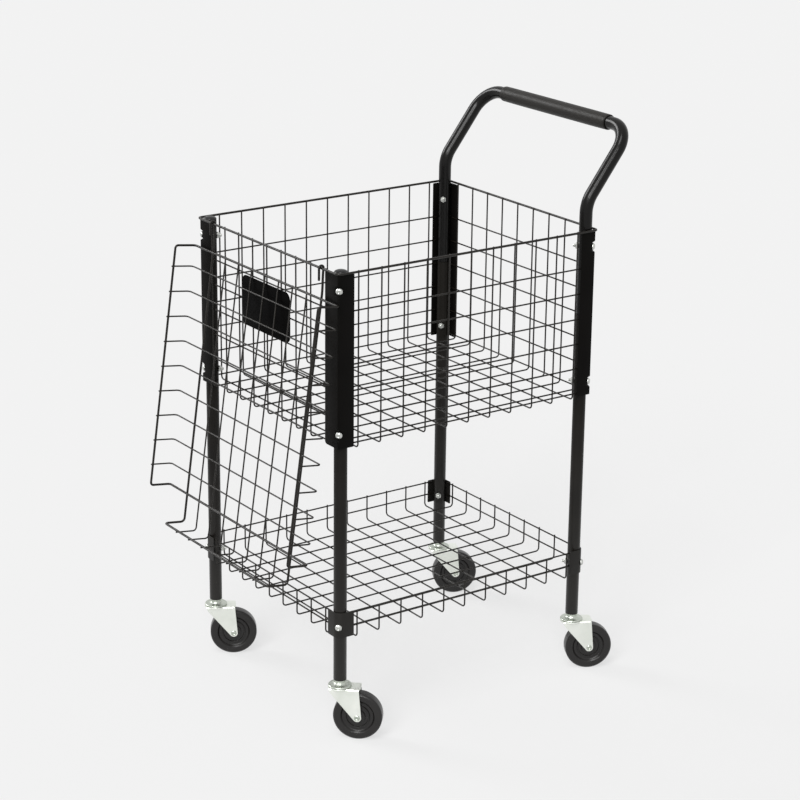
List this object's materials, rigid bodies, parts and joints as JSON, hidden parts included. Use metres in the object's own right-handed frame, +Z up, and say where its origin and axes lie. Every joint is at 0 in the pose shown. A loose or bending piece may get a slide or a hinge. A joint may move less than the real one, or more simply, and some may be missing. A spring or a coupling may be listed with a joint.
{
  "type": "ball cart",
  "caption": "Wheeled steel cart with a wire basket for practice balls, a lower wire shelf, a bent push handle and a hinged wire lid hanging at the front.",
  "frame": {"origin": "on the floor, under the middle of the cart's bounding box, with the casters as posed", "axes": "+Z up, +Y towards the push handle, +X along the handle's crossbar"},
  "size_m": [0.5482, 0.8138, 1.1115],
  "materials": {
    "black_steel": "black powder coat, soft gloss",
    "zinc_steel": "bright zinc plate",
    "wheel_rubber": "hard black rubber, satin",
    "grip_foam": "matte foam",
    "black_plastic": "moulded black plastic",
    "sign_plastic": "satin black sheet"
  },
  "bodies": {
    "cart": {"basket": "black_steel", "shelf": "black_steel", "handle": "black_steel", "handle_grip": "grip_foam", "sign_plate": "sign_plastic", "sign_clip_upper_left": "black_plastic", "sign_clip_upper_right": "black_plastic", "sign_clip_lower_left": "black_plastic", "sign_clip_lower_right": "black_plastic", "leg_front_left": "black_steel", "leg_front_right": "black_steel", "leg_rear_left": "black_steel", "leg_rear_right": "black_steel", "leg_cap_front_left": "black_plastic", "leg_cap_front_right": "black_plastic", "corner_plate_front_left": "black_steel", "corner_plate_front_right": "black_steel", "corner_plate_rear_left": "black_steel", "corner_plate_rear_right": "black_steel", "shelf_bracket_front_left": "black_steel", "shelf_bracket_front_right": "black_steel", "shelf_bracket_rear_left": "black_steel", "shelf_bracket_rear_right": "black_steel", "upper_basket_bolt_front_left": "zinc_steel", "upper_basket_bolt_front_right": "zinc_steel", "upper_basket_bolt_rear_left": "zinc_steel", "upper_basket_bolt_rear_right": "zinc_steel", "lower_basket_bolt_front_left": "zinc_steel", "lower_basket_bolt_front_right": "zinc_steel", "lower_basket_bolt_rear_left": "zinc_steel", "lower_basket_bolt_rear_right": "zinc_steel", "shelf_bolt_front_left": "zinc_steel", "shelf_bolt_front_right": "zinc_steel", "shelf_bolt_rear_left": "zinc_steel", "shelf_bolt_rear_right": "zinc_steel", "caster_neck_front_left": "zinc_steel", "caster_neck_front_right": "zinc_steel", "caster_neck_rear_left": "zinc_steel", "caster_neck_rear_right": "zinc_steel"},
    "lid": {"lid": "black_steel"},
    "fork_front_left": {"caster_fork_front_left": "zinc_steel", "swivel_race_front_left": "zinc_steel", "wheel_axle_front_left": "zinc_steel"},
    "fork_front_right": {"caster_fork_front_right": "zinc_steel", "swivel_race_front_right": "zinc_steel", "wheel_axle_front_right": "zinc_steel"},
    "fork_rear_left": {"caster_fork_rear_left": "zinc_steel", "swivel_race_rear_left": "zinc_steel", "wheel_axle_rear_left": "zinc_steel"},
    "fork_rear_right": {"caster_fork_rear_right": "zinc_steel", "swivel_race_rear_right": "zinc_steel", "wheel_axle_rear_right": "zinc_steel"},
    "wheel_front_left": {"wheel_front_left": "wheel_rubber"},
    "wheel_front_right": {"wheel_front_right": "wheel_rubber"},
    "wheel_rear_left": {"wheel_rear_left": "wheel_rubber"},
    "wheel_rear_right": {"wheel_rear_right": "wheel_rubber"}
  },
  "joints": [
    {"name": "lid_hinge", "type": "hinge", "parent": "cart", "child": "lid", "pos_m": [-0.01711, -0.28534, 0.912], "axis": [-1, 0, 0], "range_deg": [0, 262]},
    {"name": "swivel_front_left", "type": "hinge", "parent": "cart", "child": "fork_front_left", "pos_m": [-0.24561, -0.26859, 0.1], "axis": [0, 0, 1], "continuous": true},
    {"name": "swivel_front_right", "type": "hinge", "parent": "cart", "child": "fork_front_right", "pos_m": [0.21139, -0.26859, 0.1], "axis": [0, 0, 1], "continuous": true},
    {"name": "swivel_rear_left", "type": "hinge", "parent": "cart", "child": "fork_rear_left", "pos_m": [-0.24561, 0.28941, 0.1], "axis": [0, 0, 1], "continuous": true},
    {"name": "swivel_rear_right", "type": "hinge", "parent": "cart", "child": "fork_rear_right", "pos_m": [0.21139, 0.28941, 0.1], "axis": [0, 0, 1], "continuous": true},
    {"name": "wheel_spin_front_left", "type": "hinge", "parent": "fork_front_left", "child": "wheel_front_left", "pos_m": [-0.22811, -0.23828, 0.047], "axis": [0.866, -0.5, 0], "continuous": true},
    {"name": "wheel_spin_front_right", "type": "hinge", "parent": "fork_front_right", "child": "wheel_front_right", "pos_m": [0.23481, -0.24258, 0.047], "axis": [0.7431, -0.6691, 0], "continuous": true},
    {"name": "wheel_spin_rear_left", "type": "hinge", "parent": "fork_rear_left", "child": "wheel_rear_left", "pos_m": [-0.23137, 0.32138, 0.047], "axis": [0.9135, -0.4067, 0], "continuous": true},
    {"name": "wheel_spin_rear_right", "type": "hinge", "parent": "fork_rear_right", "child": "wheel_rear_right", "pos_m": [0.22728, 0.3206, 0.047], "axis": [0.891, -0.454, 0], "continuous": true}
  ]
}
